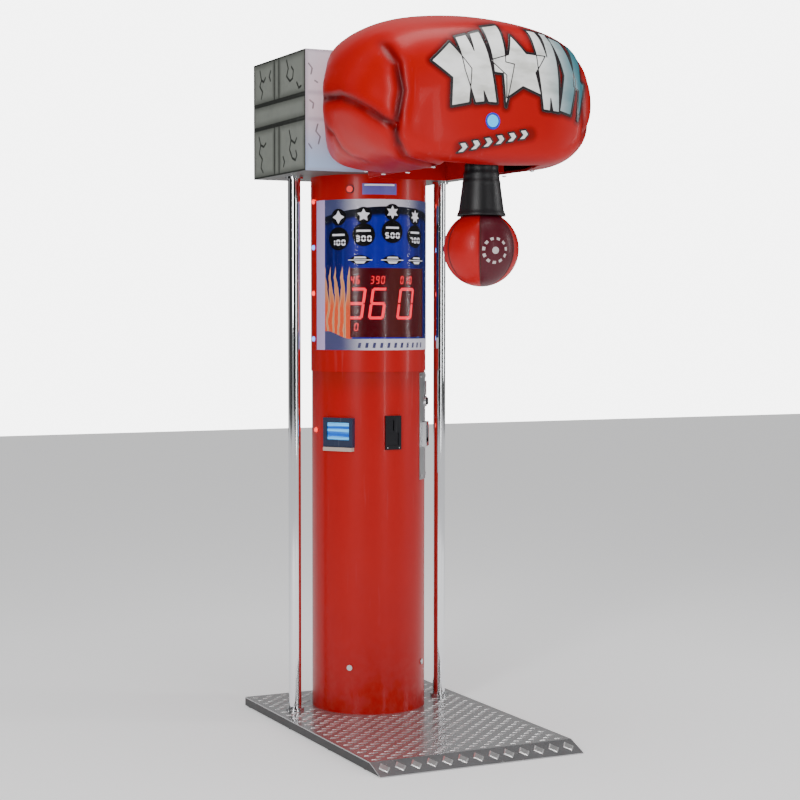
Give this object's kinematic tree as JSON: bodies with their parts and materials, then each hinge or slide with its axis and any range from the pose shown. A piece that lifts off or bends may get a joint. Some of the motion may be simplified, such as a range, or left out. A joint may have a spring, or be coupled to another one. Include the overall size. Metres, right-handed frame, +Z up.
{
  "type": "boxing punch machine",
  "caption": "Punch-strength arcade machine: round column on a tread-plate platform, wall box, giant boxing glove over a hanging punch bag, score window, coin and bill fittings.",
  "frame": {"origin": "on the floor, on the axis of the round column", "axes": "+Z up; the player stands at -Y and faces +Y; +X is on the player's right"},
  "size_m": [0.7708, 1.11, 2.1546],
  "materials": {
    "red_shell": "gloss",
    "platform_black": "satin",
    "tread_aluminium": "worn satin",
    "chrome": "polished",
    "steel": "satin",
    "zinc": "zinc plated",
    "black_rubber": "satin",
    "display_print": "printed",
    "clear_window": "clear",
    "red_filter": "tinted",
    "circuit_board": "satin",
    "black_plastic": "satin",
    "lamp_red": "gloss",
    "lamp_blue": "gloss",
    "button_red": "gloss",
    "button_cyan": "gloss",
    "housing_blue": "gloss",
    "name_plate": "gloss",
    "stone_paint": "satin",
    "glove_gelcoat": "gloss",
    "bag_vinyl": "gloss",
    "painted_steel": "satin",
    "grey_box": "satin"
  },
  "bodies": {
    "machine": {"arm_buffers": "black_rubber", "bearing_blocks": "steel", "bill_bezel": "chrome", "bill_validator": "black_plastic", "booms": "painted_steel", "box_back_cover": "painted_steel", "cash_box": "grey_box", "cash_shelf": "steel", "coin_bezel": "black_plastic", "coin_mechanism": "steel", "coin_validator": "black_plastic", "column_bolts": "zinc", "column_lower_shell": "red_shell", "column_rings": "steel", "column_upper_shell": "red_shell", "display_art_sheet": "display_print", "display_window": "clear_window", "door_hinge_leaves": "steel", "door_hinge_pins": "steel", "glove_shell": "glove_gelcoat", "latch_solenoid": "painted_steel", "mech_bezels": "chrome", "mech_plate": "chrome", "name_plate": "name_plate", "panel_screws": "chrome", "park_bar": "painted_steel", "pawl_bracket": "steel", "platform_frame": "platform_black", "post_collars": "chrome", "power_inlet": "black_plastic", "power_supply": "grey_box", "rest_bar": "painted_steel", "return_cup": "chrome", "rubber_pads": "black_rubber", "score_board": "circuit_board", "score_board_brackets": "steel", "score_filter": "red_filter", "select_housing": "chrome", "side_lamps_blue": "lamp_blue", "side_lamps_red": "lamp_red", "side_posts": "chrome", "speed_sensor": "black_plastic", "start_housing": "housing_blue", "tread_plate": "tread_aluminium", "wall_box": "stone_paint", "well_liner": "painted_steel", "window_edge_strips": "chrome"},
    "bag": {"punch_bag": "bag_vinyl", "bag_sleeve": "black_rubber", "punch_arm": "painted_steel", "pivot_shaft": "steel", "shaft_discs": "steel"},
    "start_button": {"start_cap": "button_cyan"},
    "select_button": {"select_cap": "button_red"},
    "coin_return_button": {"return_button": "chrome"},
    "coin_flap": {"return_flap": "black_plastic"},
    "door": {"service_door": "red_shell"},
    "lock": {"door_lock": "chrome"},
    "pawl": {"latch_pawl": "steel"},
    "plunger": {"latch_plunger": "steel"}
  },
  "joints": [
    {"name": "bag_swing", "type": "hinge", "parent": "machine", "child": "bag", "pos_m": [0, -0.749, 1.8], "axis": [1, 0, 0], "range_deg": [0, 90]},
    {"name": "start_button_press", "type": "slide", "parent": "machine", "child": "start_button", "axis": [0, 1, 0], "range_m": [0, 0.004], "stiffness_N_per_m": 600, "springref_m": -0.002},
    {"name": "select_button_press", "type": "slide", "parent": "machine", "child": "select_button", "axis": [0.682, 0.7314, 0], "range_m": [0, 0.003], "stiffness_N_per_m": 600, "springref_m": -0.002},
    {"name": "coin_return_press", "type": "slide", "parent": "machine", "child": "coin_return_button", "axis": [-0.829, 0.5592, 0], "range_m": [0, 0.005], "stiffness_N_per_m": 400, "springref_m": -0.002},
    {"name": "coin_flap_swing", "type": "hinge", "parent": "machine", "child": "coin_flap", "pos_m": [0.14591, -0.09842, 0.9302], "axis": [0.5592, 0.829, 0], "range_deg": [0, 60]},
    {"name": "service_door_swing", "type": "hinge", "parent": "machine", "child": "door", "pos_m": [0.11698, 0.14972, 0.6], "axis": [0, 0, -1], "range_deg": [0, 110]},
    {"name": "door_lock_turn", "type": "hinge", "parent": "door", "child": "lock", "pos_m": [-0.08775, 0.15831, 0.6], "axis": [0.4848, -0.8746, 0], "range_deg": [0, 90]},
    {"name": "latch_pawl_lift", "type": "hinge", "parent": "machine", "child": "pawl", "pos_m": [0.074, -0.672, 1.835], "axis": [-1, 0, 0], "range_deg": [0, 12]},
    {"name": "latch_plunger_push", "type": "slide", "parent": "machine", "child": "plunger", "axis": [0, 0, -1], "range_m": [0, 0.0046], "stiffness_N_per_m": 30, "springref_m": -0.005}
  ],
  "couplings": [
    {"joint": "latch_pawl_lift", "follows": "latch_plunger_push", "rad_per_m": 45}
  ]
}
